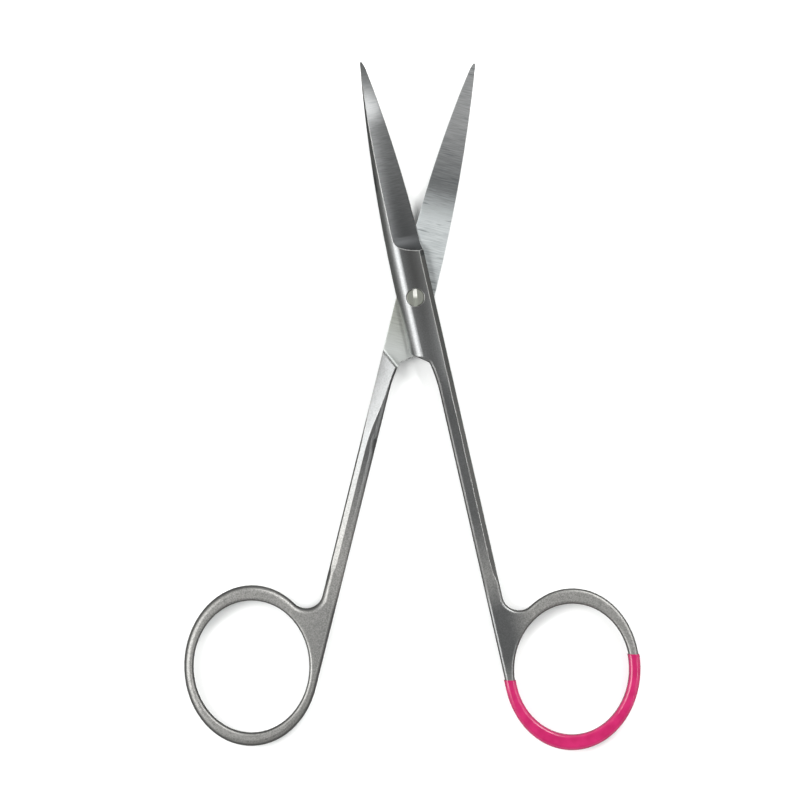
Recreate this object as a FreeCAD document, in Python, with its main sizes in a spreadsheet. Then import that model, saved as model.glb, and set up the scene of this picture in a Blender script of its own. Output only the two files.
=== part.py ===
"""Straight iris scissors, 115 mm long: two forged halves lapped at a screw joint.

The row frame has +Z up along the pivot axis, +Y towards the tips, and its origin
on the pivot axis at the underside of the joint. The scissors lie open.
Each half is drawn closed, in a frame of its own: x across with the cutting edge
on +x, y towards the tip, z = 0 on the lap plane and the outer face on +z.
"""
import FreeCAD, Part

import math
import os
from types import SimpleNamespace

import Sketcher

SIZES = {
    # Whole instrument
    "opening_angle": 26.7,
    "tip_reach": 38.75,
    "joint_depth": 2.2,
    "lap_gap": 0.04,
    # Blade
    "back_radius": 265.0,
    "back_start": 2.0,
    "back_round": 2.1,
    "edge_radius": 216.0,
    "edge_start": 5.75,
    "edge_side": 2.72,
    "edge_step_low": 7.0,
    "edge_step_high": 8.5,
    "nose_radius": 4.2,
    "nose_length": 1.3,
    "bevel_angle": 24.3,
    "edge_land": 0.08,
    "bevel_end": 9.9,
    "bevel_wheel": 3.0,
    # Joint plate
    "joint_back_side": 2.92,
    "joint_edge_side": 2.98,
    "plate_corner": 8.5,
    "plate_slope": 37.0,
    "plate_corner_round": 1.3,
    "crotch_round": 0.8,
    "facet_angle": 38.0,
    "facet_width": 0.73,
    "shoulder_gap": 1.0,
    "shoulder_wheel": 0.6,
    # Shank
    "shank_depth": 2.8,
    "shank_clear": 0.45,
    "flare_radius": 23.0,
    "flare_end": 15.6,
    "taper_start": 9.5,
    "taper_end": 26.0,
    "outer_round": 0.5,
    "lap_side_round": 0.9,
    "lap_facet_angle": 22.0,
    "lap_facet_foot": 1.0,
    "facet_end": 44.0,
    "facet_run_out": 5.0,
    "facet_wheel": 20.0,
    # Finger ring
    "ring_drop": 63.5,
    "ring_tilt": 13.3,
    "ring_half_width": 10.76,
    "ring_half_height": 12.85,
    "ring_side_wall": 1.46,
    "ring_end_wall": 2.25,
    "hole_shift": 0.16,
    "hole_round": 0.45,
    "armpit_radius": 2.7,
    # Pivot screw
    "head_diameter": 2.8,
    "head_depth": 0.8,
    "head_clearance": 0.06,
    "head_seat_gap": 0.02,
    "pin_diameter": 2.0,
    "pin_clearance": 0.05,
    "thread_clearance": 0.02,
    "screw_chamfer": 0.12,
    "slot_width": 0.6,
    "slot_depth": 0.4,
    "slot_turn": 6.0,
    # Colour coat on the front ring
    "coat_thickness": 0.15,
    "coat_seat": 0.02,
    "coat_end_inner": 1.93,
    "coat_end_outer": 2.42,
    "coat_past": 1.0,
    # Room that a cutting profile runs past the solid
    "cut_room": 4.0,
}

DERIVED = {
    "half_opening": "=opening_angle / 2",
    "lap_face": "=lap_gap / 2",
    "shank_half": "=shank_depth / 2",
    "ring_reach": "=sqrt((ring_half_width * cos(ring_tilt * 1deg))^2"
                  " + (ring_half_height * sin(ring_tilt * 1deg))^2)",
    "ring_out": "=shank_clear + ring_reach",
    "ring_far": "=ring_out + ring_reach",
    "ring_foot": "=ring_drop + ring_half_height",
    "hole_half_width": "=ring_half_width - ring_side_wall",
    "hole_half_height": "=ring_half_height - ring_end_wall",
    "hole_out": "=ring_out - hole_shift * sin(ring_tilt * 1deg)",
    "hole_drop": "=ring_drop + hole_shift * cos(ring_tilt * 1deg)",
    "shoulder_line": "=joint_back_side * sin(plate_slope * 1deg)"
                     " + plate_corner * cos(plate_slope * 1deg) + shoulder_gap",
    "bevel_base": "=edge_side * sin(bevel_angle * 1deg) + (lap_face + edge_land) * cos(bevel_angle * 1deg)",
    "bevel_radius": "=edge_radius / sin(bevel_angle * 1deg)",
    "facet_low": "=(joint_edge_side - facet_width) * sin(facet_angle * 1deg)"
                 " + shank_half * cos(facet_angle * 1deg)",
    "facet_high": "=facet_low + (joint_depth - shank_half) * cos(facet_angle * 1deg)",
    "lap_facet": "=joint_edge_side * sin(lap_facet_angle * 1deg)"
                 " + lap_facet_foot * cos(lap_facet_angle * 1deg)",
    "coat_grow": "=coat_seat + coat_thickness",
    "coat_near": "=-coat_end_inner",
    "coat_far": "=coat_end_outer",
    "bore_near": "=coat_past - coat_end_inner",
    "bore_far": "=coat_past + coat_end_outer",
}

FULL_TURN = 360.0
LEAST_CUT = 1e-6  # mm3: a cut that takes less away has missed its solid

doc = FreeCAD.newDocument("iris_scissors")
sheet = doc.addObject("Spreadsheet::Sheet", "Sizes")
for row, (name, content) in enumerate({**SIZES, **DERIVED}.items(), start=1):
    sheet.set(f"A{row}", name)
    sheet.set(f"B{row}", str(content))
    sheet.setAlias(f"B{row}", name)
doc.recompute()
now = SimpleNamespace(**{name: float(sheet.get(name)) for name in {**SIZES, **DERIVED}})


def point(x, y, z=0.0):
    return FreeCAD.Vector(x, y, z)


def polar(centre, radius, degrees):
    """Give the point at an angle on a circle."""
    turn = math.radians(degrees)
    return (centre[0] + radius * math.cos(turn), centre[1] + radius * math.sin(turn))


class Outline:
    """A sketch on one of its body's origin planes, driven by the sheet."""

    def __init__(self, body, name, plane):
        self.sketch = body.newObject("Sketcher::SketchObject", name)
        support = [item for item in body.Origin.OriginFeatures if item.Role == plane][0]
        self.sketch.AttachmentSupport = [(support, "")]
        self.sketch.MapMode = "FlatFace"

    def lean(self, axis, angle, shift=(None, None, None)):
        """Turn the sketch in its own plane's frame, and shift it, by formulas of the sheet."""
        start = FreeCAD.Placement(point(0, 0), FreeCAD.Rotation(point(*axis), 1.0))
        self.sketch.AttachmentOffset = start
        self.sketch.setExpression("AttachmentOffset.Rotation.Angle", f"{angle} * 1deg")
        for letter, formula in zip("xyz", shift):
            if formula is not None:
                self.sketch.setExpression(f"AttachmentOffset.Base.{letter}", formula)

    def world(self, x, y, z=0.0):
        """Give the place in the body's own frame of a point in the sketch's frame."""
        return self.sketch.Placement.multVec(point(x, y, z))

    def line(self, start, end):
        return self.sketch.addGeometry(Part.LineSegment(point(*start), point(*end)), False)

    def lines(self, *corners):
        """Add the lines between neighbouring corners and join them."""
        added = [self.line(start, end) for start, end in zip(corners, corners[1:])]
        for first, second in zip(added, added[1:]):
            self.join(first, second)
        return added

    def arc(self, centre, radius, start, end):
        """Add an arc, counter-clockwise between two angles in degrees."""
        circle = Part.Circle(point(*centre), point(0, 0, 1), radius)
        arc = Part.ArcOfCircle(circle, math.radians(start), math.radians(end))
        return self.sketch.addGeometry(arc, False)

    def circle(self, centre, radius):
        return self.sketch.addGeometry(Part.Circle(point(*centre), point(0, 0, 1), radius), False)

    def ellipse(self, centre, half_width, half_height, lean=0.0, between=None):
        """Add an ellipse whose tall axis leans clockwise; give it and its two axis lines."""
        tall = polar(centre, half_height, 90 - lean)
        side = polar(centre, half_width, 180 - lean)
        shape = Part.Ellipse(point(*tall), point(*side), point(*centre))
        if between:
            shape = Part.ArcOfEllipse(shape, math.radians(between[0]), math.radians(between[1]))
        number = self.sketch.addGeometry(shape, False)
        self.sketch.exposeInternalGeometry(number)
        return number, number + 1, number + 2

    def join(self, first, second, kind="Coincident"):
        """Join the nearest vertices of two elements."""
        pairs = []
        for one in (1, 2):
            for two in (1, 2):
                gap = self.sketch.getPoint(first, one) - self.sketch.getPoint(second, two)
                pairs.append((gap.Length, one, two))
        _, one, two = min(pairs)
        self.rule(kind, first, one, second, two)

    def smooth(self, first, second):
        self.join(first, second, "Tangent")

    def rule(self, kind, *items):
        return self.sketch.addConstraint(Sketcher.Constraint(kind, *items))

    def bind(self, kind, items, formula, value):
        """Add a dimension at its present value and drive it by a formula of the sheet."""
        number = self.sketch.addConstraint(Sketcher.Constraint(kind, *items, value))
        self.sketch.setExpression(f"Constraints[{number}]", formula)

    def at(self, element, vertex, x=None, y=None):
        """Dimension a vertex from the sketch's origin."""
        here = self.sketch.getPoint(element, vertex)
        if x is not None:
            self.bind("DistanceX", (-1, 1, element, vertex), x, here.x)
        if y is not None:
            self.bind("DistanceY", (-1, 1, element, vertex), y, here.y)

    def radius(self, element, formula):
        self.bind("Radius", (element,), formula, self.sketch.Geometry[element].Radius)

    def frame(self, left, low, right, high):
        """Add the rectangle round an outline whose outside is cut away."""
        far = 2 * (now.ring_foot + now.tip_reach)
        corners = [(-far, -far), (far, -far), (far, far), (-far, far), (-far, -far)]
        bottom, wall, top, other = self.lines(*corners)
        self.join(other, bottom)
        for number in (bottom, top):
            self.rule("Horizontal", number)
        for number in (wall, other):
            self.rule("Vertical", number)
        self.at(bottom, 1, left, low)
        self.at(top, 1, right, high)

    def axes(self, ellipse, half_width, half_height):
        """Dimension both axis lines of an ellipse given by ellipse()."""
        _, tall, wide = ellipse
        for line, formula in ((tall, half_height), (wide, half_width)):
            length = self.sketch.Geometry[line].length()
            self.bind("Distance", (line,), f"2 * ({formula})", length)


def check_cut(cut, before):
    """Recompute a new cut, and stop if it takes nothing away from the volume before it."""
    doc.recompute()
    if not cut.Shape.Volume < before - LEAST_CUT:
        raise ValueError(f"{cut.Name} cuts nothing")


def pocket(body, name, outline, depth=None, turned=False):
    """Cut an outline through everything, or to a depth below its own plane, or above it if turned."""
    before = body.Tip.Shape.Volume
    cut = body.newObject("PartDesign::Pocket", name)
    cut.Profile = outline.sketch
    if depth is None:
        cut.Type = "ThroughAll"
        cut.SideType = "Symmetric"
    else:
        cut.Type = "Length"
        cut.setExpression("Length", depth)
        cut.Reversed = turned
    check_cut(cut, before)


def pad(body, name, outline, depth):
    """Raise an outline evenly to both sides of its plane."""
    raised = body.newObject("PartDesign::Pad", name)
    raised.Profile = outline.sketch
    raised.Type = "Length"
    raised.SideType = "Symmetric"
    raised.setExpression("Length", depth)
    doc.recompute()


def edge_near(shape, target):
    """Name the edge that passes nearest to a point."""
    vertex = Part.Vertex(target)
    gaps = [edge.distToShape(vertex)[0] for edge in shape.Edges]
    return f"Edge{gaps.index(min(gaps)) + 1}"


def fillet(body, name, targets, radius):
    """Round the edges that pass through the target points, and what runs on smoothly from them."""
    base = body.Tip
    rounding = body.newObject("PartDesign::Fillet", name)
    rounding.Base = (base, sorted({edge_near(base.Shape, target) for target in targets}))
    rounding.setExpression("Radius", radius)
    doc.recompute()


def taper_run(outline, sign, low, high, start, end):
    """Draw a face that rises from the shank's level to the joint's, by two equal arcs between two flats.

    low and high name the two levels; give the flat at the shank and the flat at the joint.
    """
    below = sign * getattr(now, low)
    above = sign * getattr(now, high)
    run = now.taper_end - now.taper_start
    rise = abs(above - below)
    bend = (run ** 2 + rise ** 2) / (4 * rise)
    swing = math.degrees(math.asin(run / 2 / bend))
    shank = outline.line((start, below), (-now.taper_end, below))
    low_centre = (-now.taper_end, below + sign * bend)
    high_centre = (-now.taper_start, above - sign * bend)
    if sign > 0:
        first = outline.arc(low_centre, bend, 270, 270 + swing)
        second = outline.arc(high_centre, bend, 90, 90 + swing)
    else:
        first = outline.arc(low_centre, bend, 90 - swing, 90)
        second = outline.arc(high_centre, bend, 270 - swing, 270)
    joint = outline.line((-now.taper_start, above), (end, above))
    outline.smooth(shank, first)
    outline.smooth(first, second)
    outline.smooth(second, joint)
    outline.rule("Horizontal", shank)
    outline.rule("Horizontal", joint)
    outline.rule("Equal", first, second)
    mark = "" if sign > 0 else "-"
    outline.at(shank, 2, "-Sizes.taper_end", f"{mark}Sizes.{low}")
    outline.at(joint, 1, "-Sizes.taper_start", f"{mark}Sizes.{high}")
    return shank, joint


def side_blank(body):
    """Pad the side view: the joint's full depth, tapering down to the shank and ring."""
    side = Outline(body, "SideView", "YZ_Plane")
    foot = -now.ring_foot - now.cut_room
    head = now.tip_reach + now.cut_room
    rows = [taper_run(side, sign, "shank_half", "joint_depth", foot, head) for sign in (1, -1)]
    back = side.line((foot, now.shank_half), (foot, -now.shank_half))
    front = side.line((head, now.joint_depth), (head, -now.joint_depth))
    for shank, joint in rows:
        side.join(back, shank)
        side.join(front, joint)
    side.rule("Vertical", back)
    side.rule("Vertical", front)
    side.at(back, 1, x="-Sizes.ring_foot - Sizes.cut_room")
    side.at(front, 1, x="Sizes.tip_reach + Sizes.cut_room")
    pad(body, "Blank", side, "2 * (Sizes.ring_far + Sizes.cut_room)")


def plan_trim(body):
    """Cut the blank to the plan: back edge, joint plate, shank and the outside of the ring."""
    plan = Outline(body, "Plan", "XY_Plane")
    top = now.tip_reach + now.cut_room / 2
    rise = math.degrees(math.asin((top - now.back_start) / now.back_radius))
    back_centre = (now.back_radius - now.joint_back_side, now.back_start)
    back = plan.arc(back_centre, now.back_radius, 180 - rise, 180)
    corner = (-now.joint_back_side, -now.plate_corner)
    side = plan.line((-now.joint_back_side, now.back_start), corner)
    crotch = (0.0, -now.plate_corner - now.joint_back_side * math.tan(math.radians(now.plate_slope)))
    plate_end = plan.line(corner, crotch)
    flare_centre = (now.shank_clear - now.flare_radius, -now.flare_end)
    flare_rise = math.degrees(math.asin((now.flare_end + crotch[1]) / now.flare_radius))
    flare = plan.arc(flare_centre, now.flare_radius, 0, flare_rise)
    ring_centre = (now.ring_out, -now.ring_drop)
    lean = math.radians(now.ring_tilt)
    phase = math.atan2(now.ring_half_width * math.cos(lean), now.ring_half_height * math.sin(lean))
    touch = math.pi - phase
    leave = math.acos((now.joint_edge_side - now.ring_out) / now.ring_reach) - phase + 2 * math.pi
    span = (math.degrees(touch), math.degrees(leave))
    ring = plan.ellipse(ring_centre, now.ring_half_width, now.ring_half_height, now.ring_tilt, span)
    touch_point = plan.sketch.Geometry[ring[0]].StartPoint
    leave_point = plan.sketch.Geometry[ring[0]].EndPoint
    inner = plan.line((now.shank_clear, -now.flare_end), (touch_point.x, touch_point.y))
    outer = plan.line((leave_point.x, leave_point.y), (now.joint_edge_side, top))
    cap = plan.line((now.joint_edge_side, top), polar(back_centre, now.back_radius, 180 - rise))

    plan.smooth(back, side)
    plan.join(side, plate_end)
    plan.join(plate_end, flare)
    plan.smooth(flare, inner)
    plan.smooth(inner, ring[0])
    plan.join(ring[0], outer)
    plan.join(outer, cap)
    plan.join(cap, back)
    for upright in (side, inner, outer):
        plan.rule("Vertical", upright)
    plan.rule("Horizontal", cap)
    plan.radius(back, "Sizes.back_radius")
    plan.at(side, 1, "-Sizes.joint_back_side", "Sizes.back_start")
    plan.at(side, 2, y="-Sizes.plate_corner")
    plan.bind("Angle", (plate_end,), "-Sizes.plate_slope * 1deg", -math.radians(now.plate_slope))
    plan.radius(flare, "Sizes.flare_radius")
    plan.at(inner, 1, "Sizes.shank_clear", "-Sizes.flare_end")
    plan.at(outer, 2, "Sizes.joint_edge_side", "Sizes.tip_reach + Sizes.cut_room / 2")
    plan.axes(ring, "Sizes.ring_half_width", "Sizes.ring_half_height")
    plan.bind("Angle", (ring[1],), "-(90 + Sizes.ring_tilt) * 1deg", -math.radians(90 + now.ring_tilt))
    plan.at(ring[0], 3, y="-Sizes.ring_drop")
    plan.frame("-(Sizes.ring_far + 2 * Sizes.cut_room)", "-(Sizes.ring_foot + 2 * Sizes.cut_room)",
               "Sizes.ring_far + 2 * Sizes.cut_room", "Sizes.tip_reach + 2 * Sizes.cut_room")
    pocket(body, "PlanTrim", plan)
    plate = plan.sketch.getPoint(plate_end, 1)
    crotch = plan.sketch.getPoint(plate_end, 2)
    armpit = plan.sketch.getPoint(outer, 1)
    fillet(body, "PlateCorner", [plate], "Sizes.plate_corner_round")
    fillet(body, "Crotch", [crotch], "Sizes.crotch_round")
    fillet(body, "Armpit", [armpit], "Sizes.armpit_radius")


def ring_hole(body):
    """Cut the oval finger hole, set a little below the ring's own centre."""
    hole = Outline(body, "FingerHole", "XY_Plane")
    hole.lean((0, 0, -1), "Sizes.ring_tilt", ("Sizes.hole_out", "-Sizes.hole_drop", None))
    oval = hole.ellipse((0, 0), now.hole_half_width, now.hole_half_height)
    hole.rule("Coincident", oval[0], 3, -1, 1)
    hole.rule("Vertical", oval[1])
    hole.axes(oval, "Sizes.hole_half_width", "Sizes.hole_half_height")
    pocket(body, "FingerHoleCut", hole)


def soften(body):
    """Round the long edges: both faces' outside runs, then the finger hole."""
    side = -now.joint_back_side
    fillet(body, "OuterRound", [point(side, 0, now.joint_depth)], "Sizes.outer_round")
    fillet(body, "LapSideRound", [point(side, 0, -now.joint_depth)], "Sizes.lap_side_round")
    lean = math.radians(now.ring_tilt)
    rim_x = now.hole_out - now.hole_half_height * math.sin(lean)
    rim_y = -now.hole_drop - now.hole_half_height * math.cos(lean)
    rim = [point(rim_x, rim_y, sign * now.shank_half) for sign in (1, -1)]
    fillet(body, "FingerHoleRound", rim, "Sizes.hole_round")


def back_corner(body, name):
    """Draw what the back's big rounding takes away, in the plane where the straight back ends."""
    corner = Outline(body, name, "XZ_Plane")
    corner.lean((0, 0, 1), "0", (None, None, "-Sizes.back_start"))
    side = -now.joint_back_side
    top = now.joint_depth
    round_over = now.back_round
    arc = corner.arc((side + round_over, top - round_over), round_over, 90, 180)
    high = top + now.cut_room
    clear = side - now.cut_room
    rise, lid, drop, under = corner.lines(
        (side + round_over, top), (side + round_over, high), (clear, high),
        (clear, top - round_over), (side, top - round_over))
    corner.join(arc, rise)
    corner.join(under, arc)
    for upright in (rise, drop):
        corner.rule("Vertical", upright)
    for level in (lid, under):
        corner.rule("Horizontal", level)
    corner.radius(arc, "Sizes.back_round")
    corner.at(arc, 3, "Sizes.back_round - Sizes.joint_back_side", "Sizes.joint_depth - Sizes.back_round")
    corner.at(rise, 1, "Sizes.back_round - Sizes.joint_back_side")
    corner.at(under, 2, y="Sizes.joint_depth - Sizes.back_round")
    corner.at(drop, 1, "-(Sizes.joint_back_side + Sizes.cut_room)", "Sizes.joint_depth + Sizes.cut_room")
    return corner


def round_back(body):
    """Round the back well over: straight beside the joint, then along the blade's curve."""
    pocket(body, "JointBackCut", back_corner(body, "JointBack"),
           "Sizes.back_start + Sizes.plate_corner + Sizes.cut_room", turned=True)
    curve = back_corner(body, "BladeBack")
    far = now.back_radius - now.joint_back_side
    axis = curve.line((far, 0), (far, now.joint_depth))
    curve.sketch.toggleConstruction(axis)
    curve.rule("Vertical", axis)
    curve.at(axis, 1, "Sizes.back_radius - Sizes.joint_back_side", "0")
    curve.at(axis, 2, y="Sizes.joint_depth")
    before = body.Tip.Shape.Volume
    groove = body.newObject("PartDesign::Groove", "BladeBackCut")
    groove.Profile = curve.sketch
    groove.ReferenceAxis = (curve.sketch, ["Axis0"])
    groove.Reversed = True
    groove.setExpression("Angle", "asin((Sizes.tip_reach + Sizes.cut_room) / Sizes.back_radius)")
    check_cut(groove, before)


def lift_off(outline, sign, level, face):
    """End a ground face on the shank: a large wheel lifts off it before the ring."""
    wheel = now.facet_wheel
    turn = math.degrees(math.asin(now.facet_run_out / wheel))
    centre = (-now.facet_end, level + sign * wheel)
    if sign > 0:
        arc = outline.arc(centre, wheel, 270 - turn, 270)
    else:
        arc = outline.arc(centre, wheel, 90, 90 + turn)
    outline.smooth(arc, face)
    outline.radius(arc, "Sizes.facet_wheel")
    outline.at(face, 1, "-Sizes.facet_end")
    return arc, polar(centre, wheel, 270 - turn if sign > 0 else 90 + turn)


def outer_facet(body):
    """Grind the narrow facet down the outer side of joint and shank, on the outer face."""
    grind = Outline(body, "OuterFacet", "YZ_Plane")
    grind.lean((1, 0, 0), "Sizes.facet_angle")
    far = now.tip_reach + now.cut_room
    top = now.facet_high + now.cut_room
    shank, joint = taper_run(grind, 1, "facet_low", "facet_high", -now.facet_end, far)
    arc, lift = lift_off(grind, 1, now.facet_low, shank)
    rise, lid, drop = grind.lines((far, now.facet_high), (far, top), (lift[0], top), lift)
    grind.join(joint, rise)
    grind.join(drop, arc)
    for upright in (rise, drop):
        grind.rule("Vertical", upright)
    grind.rule("Horizontal", lid)
    grind.at(lid, 1, "Sizes.tip_reach + Sizes.cut_room", "Sizes.facet_high + Sizes.cut_room")
    grind.at(lid, 2, "-(Sizes.facet_end + Sizes.facet_run_out)")
    pocket(body, "OuterFacetCut", grind)


def lap_side_facet(body):
    """Slope the shank's lap side down to its outer side: all its width at the joint, less at the ring."""
    grind = Outline(body, "LapSideFacet", "YZ_Plane")
    grind.lean((1, 0, 0), "-Sizes.lap_facet_angle")
    low = -now.lap_facet - now.cut_room
    face = grind.line((-now.facet_end, -now.lap_facet), (0, -now.lap_facet))
    arc, lift = lift_off(grind, -1, -now.lap_facet, face)
    drop, base, rise = grind.lines((0, -now.lap_facet), (0, low), (lift[0], low), lift)
    grind.join(face, drop)
    grind.join(rise, arc)
    for level in (face, base):
        grind.rule("Horizontal", level)
    for upright in (drop, rise):
        grind.rule("Vertical", upright)
    grind.at(drop, 1, "0", "-Sizes.lap_facet")
    grind.at(base, 2, "-(Sizes.facet_end + Sizes.facet_run_out)", "-(Sizes.lap_facet + Sizes.cut_room)")
    pocket(body, "LapSideFacetCut", grind)


def lap(body):
    """Mill the half away below the lap plane, up to the shoulder parallel to the other plate's end."""
    step = Outline(body, "LapStep", "YZ_Plane")
    step.lean((0, 1, 0), "Sizes.plate_slope")
    far = now.tip_reach + now.cut_room
    low = -now.joint_depth - now.cut_room
    wheel = now.shoulder_wheel
    corner = step.arc((wheel - now.shoulder_line, now.lap_face - wheel), wheel, 90, 180)
    face, tip, under, wall = step.lines(
        (wheel - now.shoulder_line, now.lap_face), (far, now.lap_face), (far, low),
        (-now.shoulder_line, low), (-now.shoulder_line, now.lap_face - wheel))
    step.smooth(corner, face)
    step.smooth(wall, corner)
    step.rule("Horizontal", face)
    step.rule("Horizontal", under)
    step.rule("Vertical", tip)
    step.rule("Vertical", wall)
    step.radius(corner, "Sizes.shoulder_wheel")
    step.at(wall, 1, "-Sizes.shoulder_line", "-(Sizes.joint_depth + Sizes.cut_room)")
    step.at(face, 2, "Sizes.tip_reach + Sizes.cut_room", "Sizes.lap_face")
    pocket(body, "LapCut", step)


def edge_trim(body):
    """Cut the blade to its cutting edge, from the step at the joint to the narrow tip."""
    trim = Outline(body, "CuttingEdge", "XY_Plane")
    centre = (now.edge_side - now.edge_radius, now.edge_start)
    step_turn = math.degrees(math.asin((now.edge_step_high - now.edge_start) / now.edge_radius))
    nose_low = now.tip_reach - now.nose_length
    nose_turn = math.degrees(math.asin((nose_low - now.edge_start) / now.edge_radius))
    edge = trim.arc(centre, now.edge_radius, step_turn, nose_turn)
    nose_start = polar(centre, now.edge_radius, nose_turn)
    nose_centre = polar(nose_start, -now.nose_radius, nose_turn)
    tip_turn = math.degrees(math.asin((now.tip_reach - nose_centre[1]) / now.nose_radius))
    nose = trim.arc(nose_centre, now.nose_radius, nose_turn, tip_turn)
    left = -now.joint_back_side
    right = now.joint_edge_side + now.cut_room
    high = now.tip_reach + now.cut_room
    tip, rise, top, drop, foot, step = trim.lines(
        polar(nose_centre, now.nose_radius, tip_turn), (left, now.tip_reach), (left, high), (right, high),
        (right, now.edge_step_low), (now.joint_edge_side, now.edge_step_low),
        polar(centre, now.edge_radius, step_turn))
    trim.join(step, edge)
    trim.smooth(edge, nose)
    trim.join(nose, tip)
    for level in (tip, top, foot):
        trim.rule("Horizontal", level)
    for upright in (rise, drop):
        trim.rule("Vertical", upright)
    trim.radius(edge, "Sizes.edge_radius")
    trim.at(edge, 3, "Sizes.edge_side - Sizes.edge_radius", "Sizes.edge_start")
    trim.at(edge, 1, y="Sizes.edge_step_high")
    trim.at(edge, 2, y="Sizes.tip_reach - Sizes.nose_length")
    trim.radius(nose, "Sizes.nose_radius")
    trim.at(tip, 2, "-Sizes.joint_back_side", "Sizes.tip_reach")
    trim.at(top, 2, "Sizes.joint_edge_side + Sizes.cut_room", "Sizes.tip_reach + Sizes.cut_room")
    trim.at(foot, 2, "Sizes.joint_edge_side", "Sizes.edge_step_low")
    pocket(body, "EdgeTrim", trim)


def bevel(body):
    """Grind the blade's outer bevel, which curves with the edge and runs out where the wheel lifts."""
    grind = Outline(body, "Bevel", "YZ_Plane")
    grind.lean((1, 0, 0), "Sizes.bevel_angle")
    centre = (now.edge_start, now.bevel_base - now.bevel_radius)
    lift_turn = math.degrees(math.asin((now.bevel_end - now.edge_start) / now.bevel_radius))
    high = now.tip_reach + now.cut_room
    end_turn = math.degrees(math.asin((high - now.edge_start) / now.bevel_radius))
    face = grind.arc(centre, now.bevel_radius, 90 - end_turn, 90 - lift_turn)
    wheel_centre = polar(centre, now.bevel_radius + now.bevel_wheel, 90 - lift_turn)
    wheel = grind.arc(wheel_centre, now.bevel_wheel, 180, 270 - lift_turn)
    top = 2 * now.joint_depth + now.cut_room
    rise, lid, drop = grind.lines(
        (wheel_centre[0] - now.bevel_wheel, wheel_centre[1]), (wheel_centre[0] - now.bevel_wheel, top),
        (high, top), polar(centre, now.bevel_radius, 90 - end_turn))
    grind.smooth(face, wheel)
    grind.smooth(wheel, rise)
    grind.join(drop, face)
    grind.rule("Vertical", rise)
    grind.rule("Horizontal", lid)
    grind.rule("Vertical", drop)
    grind.radius(face, "Sizes.bevel_radius")
    grind.at(face, 3, "Sizes.edge_start", "Sizes.bevel_base - Sizes.bevel_radius")
    grind.radius(wheel, "Sizes.bevel_wheel")
    grind.at(face, 2, x="Sizes.bevel_end")
    grind.at(lid, 2, "Sizes.tip_reach + Sizes.cut_room", "2 * Sizes.joint_depth + Sizes.cut_room")
    pocket(body, "BevelCut", grind)


def round_hole(body, name, radius, formula, depth=None):
    """Bore a round hole on the pivot axis, right through or to a depth below the outer face."""
    ring = Outline(body, name, "XY_Plane")
    if depth is not None:
        ring.lean((0, 0, 1), "0", (None, None, "Sizes.joint_depth"))
    circle = ring.circle((0, 0), radius)
    ring.rule("Coincident", circle, 3, -1, 1)
    ring.radius(circle, formula)
    pocket(body, name + "Cut", ring, depth)


def make_half(name):
    """Build one forging: blade, joint plate, shank and ring, all but its screw hole."""
    body = doc.addObject("PartDesign::Body", name)
    side_blank(body)
    plan_trim(body)
    ring_hole(body)
    soften(body)
    round_back(body)
    outer_facet(body)
    lap_side_facet(body)
    lap(body)
    edge_trim(body)
    bevel(body)
    return body


def make_front():
    """Front half: its hole turns on the screw's plain pin, and its recess takes the screw's head."""
    body = make_half("front_half")
    round_hole(body, "PinHole", now.pin_diameter / 2, "Sizes.pin_diameter / 2 + Sizes.pin_clearance")
    round_hole(body, "HeadRecess", now.head_diameter / 2, "Sizes.head_diameter / 2 + Sizes.head_clearance",
               "Sizes.head_depth + Sizes.head_seat_gap")
    return body


def make_rear():
    """Rear half: the same forging turned over, tapped for the screw's end."""
    body = make_half("rear_half")
    round_hole(body, "TappedHole", now.pin_diameter / 2, "Sizes.pin_diameter / 2 + Sizes.thread_clearance")
    return body


def make_screw():
    """Turn the pivot screw: slotted head flush with the front, threaded end flush with the back."""
    body = doc.addObject("PartDesign::Body", "pivot_screw")
    top = 2 * now.joint_depth
    under = top - now.head_depth
    pin = now.pin_diameter / 2
    head = now.head_diameter / 2
    cut = now.screw_chamfer
    half = Outline(body, "ScrewProfile", "XZ_Plane")
    lines = half.lines((0, 0), (pin - cut, 0), (pin, cut), (pin, under), (head, under),
                       (head, top - cut), (head - cut, top), (0, top), (0, 0))
    end, lead, shaft, seat, rim, bevel_line, face, axis = lines
    half.join(axis, end)
    for level in (end, seat, face):
        half.rule("Horizontal", level)
    for upright in (shaft, rim, axis):
        half.rule("Vertical", upright)
    half.rule("Coincident", end, 1, -1, 1)
    half.at(end, 2, "Sizes.pin_diameter / 2 - Sizes.screw_chamfer")
    half.at(shaft, 1, "Sizes.pin_diameter / 2", "Sizes.screw_chamfer")
    half.at(seat, 2, "Sizes.head_diameter / 2", "2 * Sizes.joint_depth - Sizes.head_depth")
    half.at(rim, 2, y="2 * Sizes.joint_depth - Sizes.screw_chamfer")
    half.at(face, 1, "Sizes.head_diameter / 2 - Sizes.screw_chamfer", "2 * Sizes.joint_depth")
    turned = body.newObject("PartDesign::Revolution", "Turned")
    turned.Profile = half.sketch
    turned.ReferenceAxis = (half.sketch, ["V_Axis"])
    turned.Angle = FULL_TURN
    doc.recompute()
    slot = Outline(body, "Slot", "XY_Plane")
    slot.lean((0, 0, 1), "Sizes.slot_turn", (None, None, "2 * Sizes.joint_depth"))
    wide = now.slot_width / 2
    low, right, high, left = slot.lines(
        (-wide, -head), (wide, -head), (wide, head), (-wide, head), (-wide, -head))
    slot.join(left, low)
    for level in (low, high):
        slot.rule("Horizontal", level)
    for upright in (right, left):
        slot.rule("Vertical", upright)
    slot.at(low, 1, "-Sizes.slot_width / 2", "-Sizes.head_diameter / 2")
    slot.at(high, 1, "Sizes.slot_width / 2", "Sizes.head_diameter / 2")
    pocket(body, "SlotCut", slot, "Sizes.slot_depth")
    return body


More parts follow.
